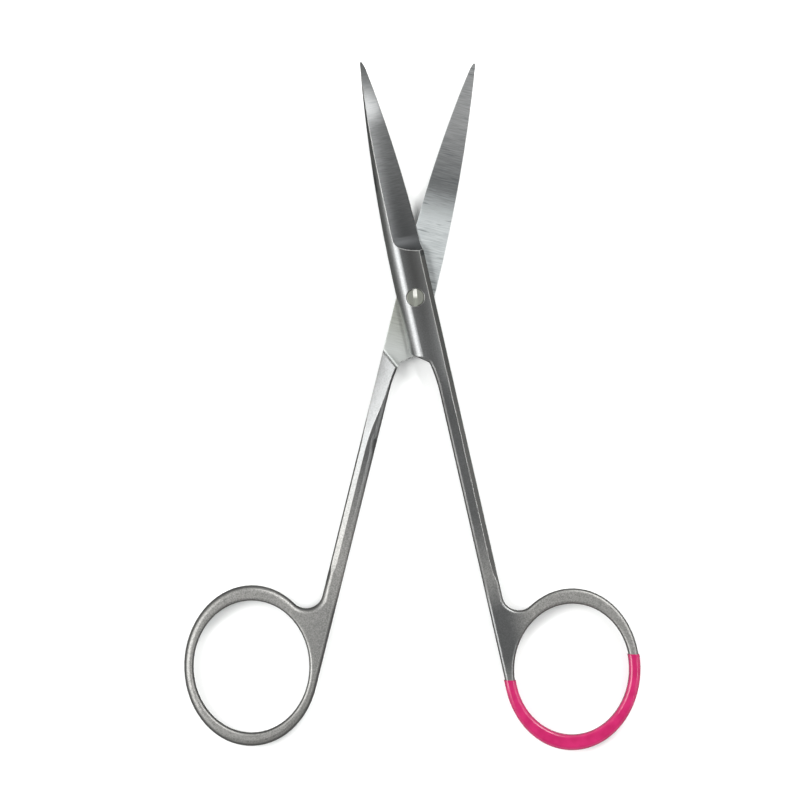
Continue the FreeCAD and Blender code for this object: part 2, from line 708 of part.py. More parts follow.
def ring_length(name, grow, near, far):
    """Build the ring's lower length, grown all round, between two levels across the ring.

    grow, near and far name sizes: near is the level of the end beside the shank.
    """
    body = doc.addObject("PartDesign::Body", name)
    plan = Outline(body, name + "Plan", "XY_Plane")
    plan.lean((0, 0, -1), "Sizes.ring_tilt", ("Sizes.ring_out", "-Sizes.ring_drop", None))
    more = getattr(now, grow)
    near_level = getattr(now, near)
    far_level = getattr(now, far)
    wide = now.ring_half_width + more
    tall = now.ring_half_height + more
    hole_wide = now.hole_half_width - more
    hole_tall = now.hole_half_height - more
    lean = math.radians(now.ring_tilt)
    touch = math.pi - math.atan2(wide * math.cos(lean), tall * math.sin(lean))
    leave = 2 * math.pi - math.acos(far_level / tall)
    start = math.acos((now.hole_shift + near_level) / hole_tall)
    end = 2 * math.pi - math.acos((now.hole_shift + far_level) / hole_tall)
    outside = (math.degrees(touch), math.degrees(leave))
    inside = (math.degrees(start), math.degrees(end))
    outer = plan.ellipse((0, 0), wide, tall, between=outside)
    inner = plan.ellipse((0, -now.hole_shift), hole_wide, hole_tall, between=inside)
    tangent = plan.sketch.getPoint(outer[0], 1)
    corner = (tangent.x - (near_level - tangent.y) * math.tan(lean), near_level)
    flank = plan.line(corner, (tangent.x, tangent.y))
    near_end = plan.line((-hole_wide, near_level), corner)
    far_end = plan.line((wide, far_level), (hole_wide, far_level))
    plan.join(near_end, flank)
    plan.smooth(flank, outer[0])
    plan.join(outer[0], far_end)
    plan.join(far_end, inner[0])
    plan.join(inner[0], near_end)
    for level in (near_end, far_end):
        plan.rule("Horizontal", level)
    for upright in (outer[1], inner[1]):
        plan.rule("Vertical", upright)
    plan.rule("Coincident", outer[0], 3, -1, 1)
    plan.rule("PointOnObject", inner[0], 3, -2)
    plan.axes(outer, f"Sizes.ring_half_width + Sizes.{grow}", f"Sizes.ring_half_height + Sizes.{grow}")
    plan.axes(inner, f"Sizes.hole_half_width - Sizes.{grow}", f"Sizes.hole_half_height - Sizes.{grow}")
    plan.at(inner[0], 3, y="-Sizes.hole_shift")
    plan.at(near_end, 1, y=f"Sizes.{near}")
    plan.at(far_end, 1, y=f"Sizes.{far}")
    plan.bind("Angle", (flank,), "(Sizes.ring_tilt - 90) * 1deg", lean - math.pi / 2)
    pad(body, name + "Blank", plan, f"Sizes.shank_depth + 2 * Sizes.{grow}")
    foot = -tall
    rim = -now.hole_shift - hole_tall
    level = now.shank_half + more
    above = [plan.world(0, foot, level)]
    below = [plan.world(0, foot, -level)]
    rims = [plan.world(0, rim, level), plan.world(0, rim, -level)]
    fillet(body, name + "OuterRound", above, f"Sizes.outer_round + Sizes.{grow}")
    fillet(body, name + "LapSideRound", below, f"Sizes.lap_side_round + Sizes.{grow}")
    fillet(body, name + "HoleRound", rims, f"Sizes.hole_round + Sizes.{grow}")
    return body


def make_coat():
    """Dip coat: a thin skin round the ring's lower length, hollow where the metal runs through."""
    skin = doc.addObject("Part::Cut", "ring_coating")
    skin.Base = ring_length("CoatOutside", "coat_grow", "coat_near", "coat_far")
    skin.Tool = ring_length("CoatInside", "coat_seat", "bore_near", "bore_far")
    doc.recompute()
    return skin


def open_left(part):
    """Lay a piece of the front half on the mid-plane and swing its blade to the left."""
    part.Placement = FreeCAD.Placement(point(0, 0), FreeCAD.Rotation(point(0, 0, 1), 1.0))
    part.setExpression("Placement.Base.z", "Sizes.joint_depth")
    part.setExpression("Placement.Rotation.Angle", "Sizes.half_opening * 1deg")


def open_right(part):
    """Turn the rear half over about an axis that also swings its blade to the right."""
    part.Placement = FreeCAD.Placement(point(0, 0), FreeCAD.Rotation(point(0, 1, 0), 180.0))
    part.setExpression("Placement.Base.z", "Sizes.joint_depth")
    part.setExpression("Placement.Rotation.Axis.x", "sin(Sizes.half_opening / 2 * 1deg)")
    part.setExpression("Placement.Rotation.Axis.y", "cos(Sizes.half_opening / 2 * 1deg)")


front_half = make_front()
rear_half = make_rear()
pivot_screw = make_screw()
ring_coating = make_coat()
open_left(front_half)
open_left(ring_coating)
open_right(rear_half)
doc.recompute()

for item in doc.Objects:
    if "Invalid" in item.State or "Error" in item.State:
        raise ValueError(f"{item.Name} failed: {item.State}")
os.makedirs("parts", exist_ok=True)
for part in (front_half, rear_half, pivot_screw, ring_coating):
    if part.Shape.isNull() or not part.Shape.isValid():
        raise ValueError(f"{part.Label} has no valid shape")
    part.Shape.exportStep(f"parts/{part.Label}.step")
    print(part.Label, len(part.Shape.Solids), round(part.Shape.Volume, 3))
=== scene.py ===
import math

import bpy
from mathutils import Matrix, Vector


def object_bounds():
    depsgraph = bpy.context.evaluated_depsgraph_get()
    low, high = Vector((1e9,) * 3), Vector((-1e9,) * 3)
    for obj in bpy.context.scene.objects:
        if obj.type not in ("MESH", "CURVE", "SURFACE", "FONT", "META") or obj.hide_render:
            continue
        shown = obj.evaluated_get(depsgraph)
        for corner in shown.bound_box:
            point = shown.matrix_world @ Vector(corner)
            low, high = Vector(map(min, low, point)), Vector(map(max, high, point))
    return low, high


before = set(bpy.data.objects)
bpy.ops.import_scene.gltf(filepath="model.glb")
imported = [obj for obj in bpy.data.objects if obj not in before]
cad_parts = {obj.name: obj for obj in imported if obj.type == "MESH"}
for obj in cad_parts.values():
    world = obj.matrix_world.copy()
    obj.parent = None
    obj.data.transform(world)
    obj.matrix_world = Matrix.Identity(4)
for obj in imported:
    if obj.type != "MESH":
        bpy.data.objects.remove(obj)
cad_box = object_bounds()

scene = bpy.context.scene


# Camera and table top
#
# The scissors lie flat on a plain pale table top and are seen from straight above through a long
# lens, so their depth hardly shows. The camera is turned half a degree against them.

MM = 0.001
FRAME_WIDTH = 128.5 * MM
CAMERA_HEIGHT = 900 * MM
CAMERA_PLACE = (-2.30 * MM, -16.40 * MM)
CAMERA_TURN = 0.55
SENSOR = 36.0
TABLE_SIZE = 3.0
TABLE_DROP = 0.02 * MM
TABLE_COLOUR = "#F2F2F1"
TABLE_MIRRORED = "#7C7C7A"


def linear(hex_colour):
    """Turn an sRGB hex colour to the linear values that a shader takes."""
    channels = [int(hex_colour[i:i + 2], 16) / 255 for i in (1, 3, 5)]
    return [c / 12.92 if c <= 0.04045 else ((c + 0.055) / 1.055) ** 2.4 for c in channels] + [1.0]


def add(tree, kind, inputs=None, **settings):
    """Add a node and set it up; an input takes a value, a socket, or a node for its result."""
    node = tree.nodes.new("ShaderNode" + kind)
    for name, value in settings.items():
        setattr(node, name, value)
    for name, value in (inputs or {}).items():
        if isinstance(value, bpy.types.Node):
            value = next(socket for socket in value.outputs if socket.enabled)
        if isinstance(value, bpy.types.NodeSocket):
            tree.links.new(value, node.inputs[name])
        else:
            node.inputs[name].default_value = value
    return node


def new_material(name):
    """Give an empty material and its node tree."""
    material = bpy.data.materials.new(name)
    material.use_nodes = True
    material.node_tree.nodes.clear()
    return material, material.node_tree


camera_data = bpy.data.cameras.new("camera")
camera_data.sensor_width = SENSOR
camera_data.lens = SENSOR * CAMERA_HEIGHT / FRAME_WIDTH
camera = bpy.data.objects.new("camera", camera_data)
camera.location = (*CAMERA_PLACE, CAMERA_HEIGHT)
camera.rotation_euler = (0, 0, math.radians(CAMERA_TURN))
scene.collection.objects.link(camera)
scene.camera = camera
scene.view_settings.view_transform = "Standard"

table_mesh = bpy.data.meshes.new("table_top")
edge = TABLE_SIZE / 2
table_mesh.from_pydata(
    [(-edge, -edge, 0), (edge, -edge, 0), (edge, edge, 0), (-edge, edge, 0)], [], [(0, 1, 2, 3)])
table = bpy.data.objects.new("table_top", table_mesh)
table.location.z = -TABLE_DROP
scene.collection.objects.link(table)

# Matt white laminate: it shows as plain white, and a painted reflection makes the metal mirror it
# as a mid grey.
table_laminate, tree = new_material("matt_white_laminate")
rays = add(tree, "LightPath")
seen = add(tree, "Mix", {
    "Factor": rays.outputs["Is Glossy Ray"], "A": linear(TABLE_COLOUR), "B": linear(TABLE_MIRRORED),
}, data_type="RGBA")
surface = add(tree, "BsdfDiffuse", {"Color": seen})
add(tree, "OutputMaterial", {"Surface": surface})
table_mesh.materials.append(table_laminate)


# Studio lights
#
# A large softbox stands on the left, high up, and draws the bright strip along each back. Weaker
# ones on the right light the ridges and the blade's tip. The ceiling is dim and the walls are pale.

CEILING_COLOUR = "#484949"
WALL_COLOUR = "#F4F4F3"
WALL_TOP = 0.60
WALL_FULL = 0.44
ROOM_MIRRORED = 1.6
ROOM_DIFFUSE = 11.6
LIT_PLACE = Vector((0, -15 * MM, 0))
LIGHT_DISTANCE = 0.75
LIGHTS = {
    "softbox_left": {"azimuth": 182, "lean": 41, "size": (0.42, 0.54), "power": 5.6},
    "softbox_right": {"azimuth": 54, "lean": 52, "size": (0.3, 0.3), "power": 4.0},
    "strip_right": {"azimuth": 14, "lean": 33, "size": (0.5, 0.06), "power": 1.7},
    "lamp_back": {"azimuth": 70, "lean": 50, "size": (0.1, 0.1), "power": 0.25},
}

for name, light in LIGHTS.items():
    light_data = bpy.data.lights.new(name, "AREA")
    light_data.shape = "RECTANGLE"
    light_data.size, light_data.size_y = light["size"]
    light_data.energy = light["power"]
    lamp = bpy.data.objects.new(name, light_data)
    azimuth = math.radians(light["azimuth"])
    lean = math.radians(light["lean"])
    towards_lamp = Vector((
        math.sin(lean) * math.cos(azimuth), math.sin(lean) * math.sin(azimuth), math.cos(lean)))
    lamp.location = LIT_PLACE + LIGHT_DISTANCE * towards_lamp
    lamp.rotation_euler = (-towards_lamp).to_track_quat("-Z", "Y").to_euler()
    scene.collection.objects.link(lamp)

# Only mirrored rays see the pale walls, so that the steel's sides read as steel from low angles.
room = bpy.data.worlds.new("dim_room")
room.use_nodes = True
tree = room.node_tree
tree.nodes.clear()
rays = add(tree, "LightPath")
strength = add(tree, "MapRange", {
    "Value": rays.outputs["Is Diffuse Ray"], "To Min": ROOM_MIRRORED, "To Max": ROOM_DIFFUSE})
ray = add(tree, "SeparateXYZ", {"Vector": add(tree, "TexCoord").outputs["Generated"]})
below_ceiling = add(tree, "MapRange", {
    "Value": ray.outputs["Z"], "From Min": WALL_TOP, "From Max": WALL_FULL})
walls = add(tree, "Math", {
    0: below_ceiling, 1: rays.outputs["Is Glossy Ray"]}, operation="MULTIPLY")
paint = add(tree, "Mix", {
    "Factor": walls, "A": linear(CEILING_COLOUR), "B": linear(WALL_COLOUR)}, data_type="RGBA")
lit = add(tree, "Background", {"Color": paint, "Strength": strength})
add(tree, "OutputWorld", {"Surface": lit})
scene.world = room


# Front half and rear half
#
# Each half is one forging of hardened stainless steel: blade, joint plate, shank and ring. The
# plate and shank are polished satin, the ring is bead blasted, and the bevel and the inner face
# of the blade are ground straight across.

# The halves are one pattern, finished by hand: blasting starts at another place on each, and only
# the front one has painted shade on its inner flank and a fork that is polished all over.
HALVES = {
    "front_half": {"side": 1, "blasting": (-36.0, -50.0), "fork_polish": 1.0, "flank_shade": 1.0},
    "rear_half": {"side": -1, "blasting": (-26.0, -42.0), "fork_polish": 0.2, "flank_shade": 0.0},
}
# At rest each half leans this many degrees off the middle line, and they meet halfway up.
LEAN = 13.35
LAP_LEVEL = cad_box[1][2] / 2 / MM
LAP_DEPTH = 0.05

# Each pair says where a part of the half begins and where it is full, in millimetres along the
# half from its screw, with the tip ahead, or across it, with the cutting edge ahead. A share is
# how much of its finish, or of its painted shade, that part then has.
BLADE = (6.0, 6.5)
JOINT = (-15.0, -14.0)
SHANK = (-9.0, -13.0)
ABOVE_RING = (-52.0, -47.0)
CROWNED = (-22.0, -12.0)
# Painted shade on the plate's flat beside the blade comes in over these.
SHADE_ALONG = (-8.0, 3.0)
SHADE_ACROSS = (-1.0, 0.6)
SHADE_SHARE = 0.75
FORK_ACROSS = (7.0, 3.0)
FORK_TOP = (-46.0, -52.0)
FORK_FOOT = (-66.0, -60.0)
BEVEL_FOOT = (29.0, 9.0)
BEVEL_FOOT_SHADE = 0.85
# The inner face's painted shade halfway along and painted light at the root come in over these.
INNER_MIDDLE = (29.0, 19.5)
INNER_ROOT = (22.5, 17.5)
ROOT_RAGGED = 9.0
LAPPED = (1.5, 0.0)
LAP_SHOULDER = (-4.0, -9.0)
LAP_SHOULDER_SHARE = 0.5

# Each of these pairs says the same of how far a face leans.
BEVEL_LEAN = (0.2, 0.35)
RUN_OUT_LEAN = (0.02, 0.12)
FACET_LEAN = (0.45, 0.58)
FLANK_LEAN = (-0.12, -0.25)
STEEP_LEVEL = (0.93, 0.75)
STEEP_SHARE = 0.9
RIDGE_LIKENESS = (0.998, 0.97)

POLISHED_LIGHT = "#808181"
POLISHED_DARK = "#6D6E6E"
BLASTED_LIGHT = "#A3A29F"
BLASTED_DARK = "#737371"
BEVEL_LIGHT = "#6D6E6E"
BEVEL_DARK = "#505151"
GROUND_LIGHT = "#D3D7D7"
GROUND_DARK = "#9FA4A5"
GROUND_TIP_LIGHT = "#9D9E9E"
GROUND_TIP_DARK = "#767777"
# Painted shade, halfway along the inner face.
SHADED_MIDDLE_LIGHT = "#7A7C7C"
SHADED_MIDDLE_DARK = "#545657"
LAPPED_LIGHT = "#B1B3AD"
LAPPED_DARK = "#8B8E86"
SCORE = "#5D6163"
# Painted shade for the run-out and for the facets, flanks and ring sides, then a painted highlight
# for the ridges.
RUN_OUT_SHADE = "#3E3F40"
SHADE_GREY = "#585857"
EDGE_HIGHLIGHT = "#A8A8A6"

POLISHED_ROUGH = 0.36
BLASTED_ROUGH = 0.50
INNER_ROUGHER = 0.11
WHEELED_ROUGHER = 0.20
BEVEL_ROUGHER = -0.06

GRAIN_SIZE = 0.22
GRAIN_CONTRAST = (0.32, 0.68)
GRAIN_RELIEF = 0.03
GRAIN_STRENGTH = 0.4
POLISHED_GRAIN = 0.25
LINE_LENGTH = 2.6
LINE_WIDTH = 0.16
LINE_CONTRAST = (0.24, 0.76)
LINE_RELIEF = 0.02
LINE_STRENGTH = 0.12
SCORE_LENGTH = 5.5
SCORE_WIDTH = 0.55
SCORE_SLANT = 7.0
SCORE_CONTRAST = (0.63, 0.69)
SCORE_SHARE = 0.6
EDGE_WEAR = 0.15
RING_HIGHLIGHT_SHARE = 0.15
PLATE_CROWN = 0.034
TIP_BELLY = 0.026
BELLY_START = 27.9


def steel_zones(tree, half, spot, facing):
    """Find each finish's zone on a half, and where painted shade goes, as shares from 0 to 1."""
    across, along, level = spot.outputs
    # The inner face is the one that lies at the level of the lap.
    height = add(tree, "Math", {0: level, 1: LAP_LEVEL}, operation="SUBTRACT")
    depth = add(tree, "Math", {0: height}, operation="ABSOLUTE")
    inner = add(tree, "Math", {0: depth, 1: LAP_DEPTH}, operation="LESS_THAN")
    outside = add(tree, "Math", {0: 1.0, 1: inner}, operation="SUBTRACT")

    # Bevel and wheel run-out are told by the way that the surface faces.
    blade = add(tree, "MapRange", {"Value": along, "From Min": BLADE[0], "From Max": BLADE[1]})
    leans_out = add(tree, "MapRange", {
        "Value": facing.outputs["X"], "From Min": BEVEL_LEAN[0], "From Max": BEVEL_LEAN[1]})
    bevel = add(tree, "Math", {0: leans_out, 1: blade}, operation="MULTIPLY")
    leans_on = add(tree, "MapRange", {
        "Value": facing.outputs["Y"], "From Min": RUN_OUT_LEAN[0], "From Max": RUN_OUT_LEAN[1]})
    shaded_run_out = add(tree, "Math", {0: leans_on, 1: blade}, operation="MULTIPLY")
    joint = add(tree, "MapRange", {"Value": along, "From Min": JOINT[0], "From Max": JOINT[1]})
    wheeled = add(tree, "Math", {0: leans_on, 1: joint}, operation="MULTIPLY")

    # Painted shade darkens the facet beside the plate and shank, and the front half's inner flank.
    facet = add(tree, "MapRange", {
        "Value": facing.outputs["X"], "From Min": FACET_LEAN[0], "From Max": FACET_LEAN[1]})
    flank = add(tree, "MapRange", {
        "Value": facing.outputs["X"], "From Min": FLANK_LEAN[0], "From Max": FLANK_LEAN[1]})
    shank = add(tree, "MapRange", {
        "Value": along, "From Min": SHANK[0], "From Max": SHANK[1], "To Max": half["flank_shade"]})
    flank = add(tree, "Math", {0: flank, 1: shank}, operation="MULTIPLY")
    painted_shade = add(tree, "Math", {0: facet, 1: flank}, operation="MAXIMUM")
    painted_shade = add(tree, "Math", {0: painted_shade, 1: blade}, operation="SUBTRACT", use_clamp=True)
    above_ring = add(tree, "MapRange", {
        "Value": along, "From Min": ABOVE_RING[0], "From Max": ABOVE_RING[1]})
    painted_shade = add(tree, "Math", {0: painted_shade, 1: above_ring}, operation="MULTIPLY")
    # Painted shade darkens the rings' steep sides too.
    flatness = add(tree, "Math", {0: facing.outputs["Z"]}, operation="ABSOLUTE")
    steep = add(tree, "MapRange", {
        "Value": flatness, "From Min": STEEP_LEVEL[0], "From Max": STEEP_LEVEL[1],
        "To Max": STEEP_SHARE})
    steep = add(tree, "Math", {0: steep, 1: above_ring}, operation="SUBTRACT")
    painted_shade = add(tree, "Math", {0: painted_shade, 1: steep}, operation="MAXIMUM")
    # Painted shade darkens the plate's flat beside the blade, on the side of the cutting edge.
    shade_side = add(tree, "MapRange", {
        "Value": across, "From Min": SHADE_ACROSS[0], "From Max": SHADE_ACROSS[1]})
    shade_end = add(tree, "MapRange", {
        "Value": along, "From Min": SHADE_ALONG[0], "From Max": SHADE_ALONG[1],
        "To Max": SHADE_SHARE})
    shade_flat = add(tree, "Math", {0: shade_side, 1: shade_end}, operation="MULTIPLY")
    painted_shade = add(tree, "Math", {0: painted_shade, 1: shade_flat}, operation="MAXIMUM")

    # Blasting starts along the shank, and the fork of shank and ring is polished again.
    below_polish = add(tree, "MapRange", {
        "Value": along, "From Min": half["blasting"][0], "From Max": half["blasting"][1]})
    fork_side = add(tree, "MapRange", {
        "Value": across, "From Min": FORK_ACROSS[0], "From Max": FORK_ACROSS[1]})
    fork_top = add(tree, "MapRange", {
        "Value": along, "From Min": FORK_TOP[0], "From Max": FORK_TOP[1]})
    fork_foot = add(tree, "MapRange", {
        "Value": along, "From Min": FORK_FOOT[0], "From Max": FORK_FOOT[1]})
    fork = add(tree, "Math", {0: fork_side, 1: fork_top}, operation="MULTIPLY")
    fork = add(tree, "Math", {0: fork, 1: fork_foot}, operation="MULTIPLY")
    unpolished = add(tree, "Math", {
        0: fork, 1: -half["fork_polish"], 2: 1.0}, operation="MULTIPLY_ADD")
    blasted = add(tree, "Math", {0: below_polish, 1: unpolished}, operation="MULTIPLY")
    return {
        "inner": inner, "outside": outside, "bevel": bevel, "shaded_run_out": shaded_run_out,
        "wheeled": wheeled, "painted_shade": painted_shade, "above_ring": above_ring, "blasted": blasted}


def steel_marks(tree, own):
    """Draw the grain of blasting, the lines of grinding and the deeper scores among them."""
    # Real pits are a tenth as wide as this grain, and the lines of real grit are finer too. Both
    # are drawn coarser to show. The scores slant a little against the lines.
    grain = add(tree, "TexNoise", {
        "Vector": own, "Scale": 1 / GRAIN_SIZE, "Detail": 3.0, "Roughness": 0.7})
    ruled = add(tree, "Mapping", {
        "Vector": own, "Scale": (1 / LINE_LENGTH, 1 / LINE_WIDTH, 1.0)})
    streaks = add(tree, "TexNoise", {
        "Vector": ruled, "Scale": 1.0, "Detail": 4.0, "Roughness": 0.6})
    lines = add(tree, "MapRange", {
        "Value": streaks, "From Min": LINE_CONTRAST[0], "From Max": LINE_CONTRAST[1]})
    slanted = add(tree, "Mapping", {
        "Vector": own, "Rotation": (0, 0, math.radians(SCORE_SLANT)),
        "Scale": (1 / SCORE_LENGTH, 1 / SCORE_WIDTH, 1.0)})
    gouges = add(tree, "TexNoise", {
        "Vector": slanted, "Scale": 1.0, "Detail": 2.0, "Roughness": 0.5})
    scores = add(tree, "MapRange", {
        "Value": gouges, "From Min": SCORE_CONTRAST[0], "From Max": SCORE_CONTRAST[1],
        "To Max": SCORE_SHARE})
    return {"grain": grain, "streaks": streaks, "lines": lines, "scores": scores}


def outside_tint(tree, along, zones, marks):
    """Colour a half's outside: polished or blasted, with painted shade on facets, flanks, ring
    sides, the plate's flat, the bevel's foot and the run-out.
    """
    mottle = add(tree, "MapRange", {
        "Value": marks["grain"], "From Min": GRAIN_CONTRAST[0], "From Max": GRAIN_CONTRAST[1]})
    polished = add(tree, "Mix", {
        "Factor": mottle, "A": linear(POLISHED_DARK), "B": linear(POLISHED_LIGHT),
    }, data_type="RGBA")
    blasted = add(tree, "Mix", {
        "Factor": mottle, "A": linear(BLASTED_DARK), "B": linear(BLASTED_LIGHT),
    }, data_type="RGBA")
    tint = add(tree, "Mix", {
        "Factor": zones["blasted"], "A": polished, "B": blasted}, data_type="RGBA")
    tint = add(tree, "Mix", {
        "Factor": zones["painted_shade"], "A": tint, "B": linear(SHADE_GREY)}, data_type="RGBA")

    # Painted shade darkens the bevel towards its foot, where the wheel ran out.
    bevel = add(tree, "Mix", {
        "Factor": marks["lines"], "A": linear(BEVEL_DARK), "B": linear(BEVEL_LIGHT),
    }, data_type="RGBA")
    foot = add(tree, "MapRange", {
        "Value": along, "From Min": BEVEL_FOOT[0], "From Max": BEVEL_FOOT[1],
        "To Max": BEVEL_FOOT_SHADE})
    bevel = add(tree, "Mix", {
        "Factor": foot, "A": bevel, "B": linear(RUN_OUT_SHADE)}, data_type="RGBA")
    tint = add(tree, "Mix", {"Factor": zones["bevel"], "A": tint, "B": bevel}, data_type="RGBA")
    # Painted shade darkens the wheel's run-out.
    return add(tree, "Mix", {
        "Factor": zones["shaded_run_out"], "A": tint, "B": linear(RUN_OUT_SHADE)}, data_type="RGBA")


def inner_tint(tree, along, marks):
    """Colour the inner face: painted shade halfway along, painted light at the root, yellower where
    lapped.
    """
    tip = add(tree, "Mix", {
        "Factor": marks["lines"], "A": linear(GROUND_TIP_DARK), "B": linear(GROUND_TIP_LIGHT),
    }, data_type="RGBA")
    # Painted shade: the face is darker halfway along.
    middle = add(tree, "Mix", {
        "Factor": marks["lines"], "A": linear(SHADED_MIDDLE_DARK),
        "B": linear(SHADED_MIDDLE_LIGHT)}, data_type="RGBA")
    into_middle_shade = add(tree, "MapRange", {
        "Value": along, "From Min": INNER_MIDDLE[0], "From Max": INNER_MIDDLE[1]})
    tint = add(tree, "Mix", {"Factor": into_middle_shade, "A": tip, "B": middle}, data_type="RGBA")
    # Painted light: the face is brighter at the root, with a ragged edge.
    root = add(tree, "Mix", {
        "Factor": marks["lines"], "A": linear(GROUND_DARK), "B": linear(GROUND_LIGHT),
    }, data_type="RGBA")
    ragged = add(tree, "Math", {
        0: marks["streaks"], 1: ROOT_RAGGED, 2: along}, operation="MULTIPLY_ADD")
    into_root_light = add(tree, "MapRange", {
        "Value": ragged, "From Min": INNER_ROOT[0], "From Max": INNER_ROOT[1]})
    tint = add(tree, "Mix", {"Factor": into_root_light, "A": tint, "B": root}, data_type="RGBA")
    tint = add(tree, "Mix", {
        "Factor": marks["scores"], "A": tint, "B": linear(SCORE)}, data_type="RGBA")

    lapped = add(tree, "Mix", {
        "Factor": marks["lines"], "A": linear(LAPPED_DARK), "B": linear(LAPPED_LIGHT),
    }, data_type="RGBA")
    shoulder = add(tree, "MapRange", {
        "Value": along, "From Min": LAP_SHOULDER[0], "From Max": LAP_SHOULDER[1],
        "To Max": LAP_SHOULDER_SHARE})
    lapped = add(tree, "Mix", {
        "Factor": shoulder, "A": lapped, "B": linear(GROUND_LIGHT)}, data_type="RGBA")
    at_lap = add(tree, "MapRange", {"Value": along, "From Min": LAPPED[0], "From Max": LAPPED[1]})
    return add(tree, "Mix", {"Factor": at_lap, "A": tint, "B": lapped}, data_type="RGBA")


def steel_relief(tree, spot, eased, zones, marks):
    """Shape the steel's surface on a small scale: crown and belly, then grain, then lines."""
    # Polishing by hand leaves the plate slightly crowned, and the bevel bellies towards the tip.
    across = spot.outputs["X"]
    along = spot.outputs["Y"]
    off_middle = add(tree, "Math", {0: across, 1: 2.0}, operation="POWER")
    plate = add(tree, "MapRange", {
        "Value": along, "From Min": CROWNED[0], "From Max": CROWNED[1], "To Max": -PLATE_CROWN})
    crown = add(tree, "Math", {0: off_middle, 1: plate}, operation="MULTIPLY")
    past = add(tree, "Math", {0: along, 1: BELLY_START}, operation="SUBTRACT")
    past = add(tree, "Math", {0: past, 1: 0.0}, operation="MAXIMUM")
    past = add(tree, "Math", {0: past, 1: 2.0}, operation="POWER")
    swell = add(tree, "Math", {0: past, 1: -TIP_BELLY, 2: crown}, operation="MULTIPLY_ADD")
    swell = add(tree, "Math", {0: swell, 1: zones["outside"]}, operation="MULTIPLY")
    normal = add(tree, "Bump", {
        "Height": swell, "Strength": 1.0, "Distance": MM, "Normal": eased})

    grainy = add(tree, "MapRange", {
        "Value": zones["blasted"], "To Min": POLISHED_GRAIN, "To Max": 1.0})
    pitted = add(tree, "Math", {0: marks["grain"], 1: grainy}, operation="MULTIPLY")
    normal = add(tree, "Bump", {
        "Height": pitted, "Strength": GRAIN_STRENGTH, "Distance": GRAIN_RELIEF * MM,
        "Normal": normal})

    ground = add(tree, "Math", {0: zones["inner"], 1: zones["bevel"]}, operation="MAXIMUM")
    scored = add(tree, "Math", {0: marks["streaks"], 1: marks["scores"]}, operation="SUBTRACT")
    scored = add(tree, "Math", {0: scored, 1: ground}, operation="MULTIPLY")
    return add(tree, "Bump", {
        "Height": scored, "Strength": LINE_STRENGTH, "Distance": LINE_RELIEF * MM,
        "Normal": normal})


# Satin polish gives the eye soft bright strips, blasting an even grey mottle, and grinding fine
# straight lines that break the light. Painted shade darkens some faces, and a painted highlight
# lightens the ridges. The material works in the half's own millimetres, so that the rear half,
# which is the same pattern turned over, takes the same finishes.
def satin_steel(name, half):
    """Make the satin stainless steel of one half."""
    material, tree = new_material(name)
    side = half["side"]
    place = add(tree, "TexCoord")
    turn = (0, 0, -math.radians(LEAN))
    own = add(tree, "Mapping", {
        "Vector": place.outputs["Object"], "Rotation": turn, "Scale": (side / MM, 1 / MM, 1 / MM)})
    turned = add(tree, "Mapping", {
        "Vector": place.outputs["Normal"], "Rotation": turn, "Scale": (side, 1, side)})
    spot = add(tree, "SeparateXYZ", {"Vector": own})
    facing = add(tree, "SeparateXYZ", {"Vector": turned})
    zones = steel_zones(tree, half, spot, facing)
    marks = steel_marks(tree, own)
    tint = add(tree, "Mix", {
        "Factor": zones["inner"], "A": outside_tint(tree, spot.outputs["Y"], zones, marks),
        "B": inner_tint(tree, spot.outputs["Y"], marks)}, data_type="RGBA")

    # Handling has rounded the ridges a little, and a painted highlight lightens them, less so on
    # the rings.
    eased = add(tree, "Bevel", {"Radius": EDGE_WEAR * MM}, samples=6)
    sharp = add(tree, "NewGeometry").outputs["Normal"]
    likeness = add(tree, "VectorMath", {0: eased, 1: sharp}, operation="DOT_PRODUCT")
    ridge = add(tree, "MapRange", {
        "Value": likeness.outputs["Value"], "From Min": RIDGE_LIKENESS[0],
        "From Max": RIDGE_LIKENESS[1]})
    highlight_share = add(tree, "MapRange", {
        "Value": zones["above_ring"], "To Min": RING_HIGHLIGHT_SHARE, "To Max": 1.0})
    edge_highlight = add(tree, "Math", {0: ridge, 1: zones["outside"]}, operation="MULTIPLY")
    edge_highlight = add(tree, "Math", {0: edge_highlight, 1: highlight_share}, operation="MULTIPLY")
    tint = add(tree, "Mix", {"Factor": edge_highlight, "A": tint, "B": linear(EDGE_HIGHLIGHT)}, data_type="RGBA")

    rough = add(tree, "MapRange", {
        "Value": zones["blasted"], "To Min": POLISHED_ROUGH, "To Max": BLASTED_ROUGH})
    for zone, rougher in (
            ("inner", INNER_ROUGHER), ("wheeled", WHEELED_ROUGHER), ("bevel", BEVEL_ROUGHER)):
        rough = add(tree, "Math", {
            0: zones[zone], 1: rougher, 2: rough}, operation="MULTIPLY_ADD")
    surface = add(tree, "BsdfPrincipled", {
        "Base Color": tint, "Metallic": 1.0, "Roughness": rough,
        "Normal": steel_relief(tree, spot, eased, zones, marks)})
    add(tree, "OutputMaterial", {"Surface": surface})
    return material


for name, half in HALVES.items():
    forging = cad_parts[name]
    forging.data.materials.clear()
    forging.data.materials.append(satin_steel("satin_stainless_" + name, half))


# Pivot screw
#
# A slotted screw turned from stainless bar, driven home and ground flush with both plates. A
# painted highlight lightens the upper end of its slot.

SCREW_LIGHT = "#BEC0B7"
SCREW_DARK = "#A1A39A"
SLOT_HIGHLIGHT = "#FBFBF7"
SLOT_DULL = "#A5A8A0"
HEAD_ROUGH = 0.34
SLOT_ROUGH = 0.55
TURNING_PITCH = 0.09
TURNING_RELIEF = 0.01
TURNING_STRENGTH = 0.05
SLOT_HIGHLIGHT_END = (-0.2, 0.3)
HEAD_TOP = cad_box[1][2] / MM
SUNK = (0.2, 0.3)

